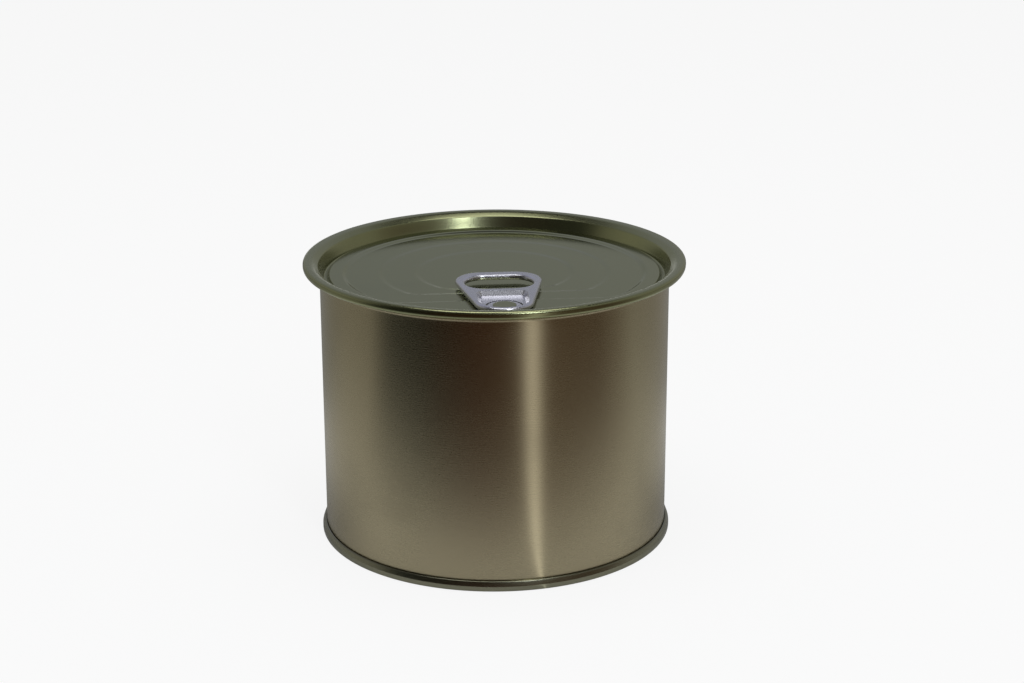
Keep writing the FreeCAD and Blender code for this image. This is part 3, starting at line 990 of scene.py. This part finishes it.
@dataclass(frozen=True)
class Studio:
    """Pale floor, even light and the painted reflections that the metal mirrors.

    Attributes:
        floor_radius: Radius of the floor.
        floor_sides: Corners of its outline.
        floor_white: Its colour, as a grey.
        glow: Share of plain white that the camera sees in it.
        squeeze: How far sideways distances are drawn in for near and far.
        near: Distance up to which the metal mirrors the floor itself.
        far: Distance from which it mirrors the painted reflection ring.
        sheen: Brightness of the painted sheen, a streak that glows on the floor for glossy rays
            only.
        sheen_start: Where the streak starts, across and along.
        sheen_turn: Degrees of its direction to the right of the front.
        sheen_width: Degrees of its half width.
        shade: How far the painted shadow darkens the near floor behind, for the metal's
            reflections only.
        shade_out: Distances between which that shade ends.
        shade_back: Distances along between which it starts.
        room_light: Even light of the room.
        painted_surroundings: Painted reflections that the metal mirrors beyond the floor.
        lamps: The lamps.
    """

    floor_radius: float = 8.0
    floor_sides: int = 96
    floor_white: float = 0.78
    glow: float = 0.86
    squeeze: float = 0.63
    near: float = 40 * MM
    far: float = 155 * MM
    sheen: float = 0.85
    sheen_start: Span = (9.7 * MM, -48.7 * MM)
    sheen_turn: float = 19.5
    sheen_width: float = 6.0
    shade: float = 0.45
    shade_out: Span = (0.055, 0.13)
    shade_back: Span = (-0.045, 0.0)
    room_light: float = 0.55
    painted_surroundings: PaintedSurroundings = PaintedSurroundings()
    lamps: tuple[SoftBox, ...] = (
        SoftBox("overhead", 0.0, 86.0, 0.95, 0.8, 0.5, 2.2),
        SoftBox("window", 19.0, 38.0, 1.3, 0.19, 0.5, 9.0, (0.93, 1.0, 1.1)),
    )

    def build(self) -> None:
        """Lay the floor, light the room and hang the lamps."""
        low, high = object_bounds()
        for lamp in self.lamps:
            lamp.build((low + high) / 2)
        self._floor()
        self._room()

    def _floor(self) -> None:
        """Round floor, white to the camera; to glossy rays it shows painted reflections, dim far
        in front, with a painted shadow and a painted sheen.
        """
        turn = full_turn(self.floor_sides)
        ring = np.stack([np.cos(turn), np.sin(turn), 0 * turn], 1) * self.floor_radius
        mesh = bpy.data.meshes.new("floor")
        mesh.from_pydata(ring.tolist(), [], [list(range(self.floor_sides))])
        floor = bpy.data.objects.new("floor", mesh)
        bpy.context.scene.collection.objects.link(floor)
        floor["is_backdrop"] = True
        made = bpy.data.materials.new("floor")
        made.use_nodes = True
        graph = Graph(made.node_tree)
        path = graph.node("ShaderNodeLightPath", {}, {})
        x, y, _ = graph.parts(graph.place())
        far = (x * self.squeeze).hypot(y).ramp(self.near, self.far)
        # painted reflection: the far floor's colours by direction, dim in front, seen by glossy
        # rays only
        room = self.painted_surroundings.ring(graph, x, y, self.painted_surroundings.low)
        white = (self.floor_white, self.floor_white, self.floor_white)
        # painted shadow: the near floor behind the can is darkened for glossy rays only
        shaded = (1 - x.hypot(y).ramp(*self.shade_out)) * y.ramp(*self.shade_back) * self.shade
        near = graph.blend(shaded, white, (0.0, 0.0, 0.0))
        mirrored = graph.blend(far, near, room)
        color = graph.blend(path.out(RayKind.GLOSSY.value), white, mirrored)
        lit = graph.node("ShaderNodeBsdfDiffuse", {}, {"Color": color})
        glow = graph.node("ShaderNodeEmission", {}, {"Color": (1, 1, 1, 1), "Strength": 1.0})
        share = path.out(RayKind.CAMERA.value) * self.glow
        # painted sheen: a glowing streak on the floor, seen by glossy rays only, that the metal
        # mirrors as a stripe
        start_x, start_y = self.sheen_start
        direction = (x - start_x).angle(start_y - y) * (180 / math.pi)
        turned_by = (direction - self.sheen_turn) / self.sheen_width
        fall = math.e ** (0 - turned_by * turned_by)
        streak = fall * path.out(RayKind.GLOSSY.value) * self.sheen
        shine = graph.node("ShaderNodeEmission", {}, {"Strength": streak})
        lit = graph.node("ShaderNodeAddShader", {}, {0: lit.out(0), 1: shine.out(0)})
        mixed = graph.node("ShaderNodeMixShader", {}, {0: share, 1: lit.out(0), 2: glow.out(0)})
        graph.node("ShaderNodeOutputMaterial", {}, {0: mixed.out(0)})
        mesh.materials.append(made)

    def _room(self) -> None:
        """World: white to the camera, painted reflections to the metal, even light to the floor.
        """
        world = bpy.data.worlds.new("room")
        world.use_nodes = True
        bpy.context.scene.world = world
        graph = Graph(world.node_tree)
        path = graph.node("ShaderNodeLightPath", {}, {})
        direction = graph.node("ShaderNodeTexCoord", {}, {}).out("Generated")
        x, y, z = graph.parts(direction)
        # painted reflections: colours of walls and ceiling that only glossy rays see
        mirrored = self.painted_surroundings.walls(graph, x, y, z)
        even = (self.room_light,) * 3
        seen = graph.blend(path.out(RayKind.GLOSSY.value), even, mirrored)
        shown = graph.blend(path.out(RayKind.CAMERA.value), seen, (1.0, 1.0, 1.0))
        back = graph.node("ShaderNodeBackground", {}, {"Color": shown, "Strength": 1.0})
        graph.node("ShaderNodeOutputWorld", {}, {0: back.out(0)})


@dataclass(frozen=True)
class View:
    """The camera: in front of the can, a little to its left, looking down on it."""

    azimuth: float = -3.96
    elevation: float = 15.67
    distance: float = 586.7 * MM
    aim_height: float = 80.05 * MM
    heading: float = 4.46
    pitch: float = 17.96
    roll: float = -0.17
    lens: float = 72.5
    sensor: float = 36.0

    def build(self) -> bpy.types.Object:
        """Set the camera up.

        Returns:
            The camera.
        """
        turn, lift = math.radians(self.azimuth), math.radians(self.elevation)
        level = self.distance * math.cos(lift)
        rise = self.distance * math.sin(lift)
        place = Vector((level * math.sin(turn), -level * math.cos(turn), rise))
        lens = bpy.data.cameras.new("camera")
        lens.lens = self.lens
        lens.sensor_width = self.sensor
        lens.clip_start = 0.01
        camera = bpy.data.objects.new("camera", lens)
        camera.matrix_world = (
            Matrix.Translation(place + Vector((0, 0, self.aim_height)))
            @ Matrix.Rotation(-math.radians(self.heading), 4, "Z")
            @ Matrix.Rotation(math.radians(90 - self.pitch), 4, "X")
            @ Matrix.Rotation(math.radians(self.roll), 4, "Z")
        )
        bpy.context.scene.collection.objects.link(camera)
        bpy.context.scene.camera = camera
        return camera


def main() -> None:
    """Build the can, its studio and its camera."""
    logging.basicConfig(level=logging.INFO, format="%(name)s: %(message)s")
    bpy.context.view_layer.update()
    View().build()
    Can().build()
    Studio().build()
    bpy.context.scene.view_settings.view_transform = "Standard"


if __name__ == "__main__":
    main()
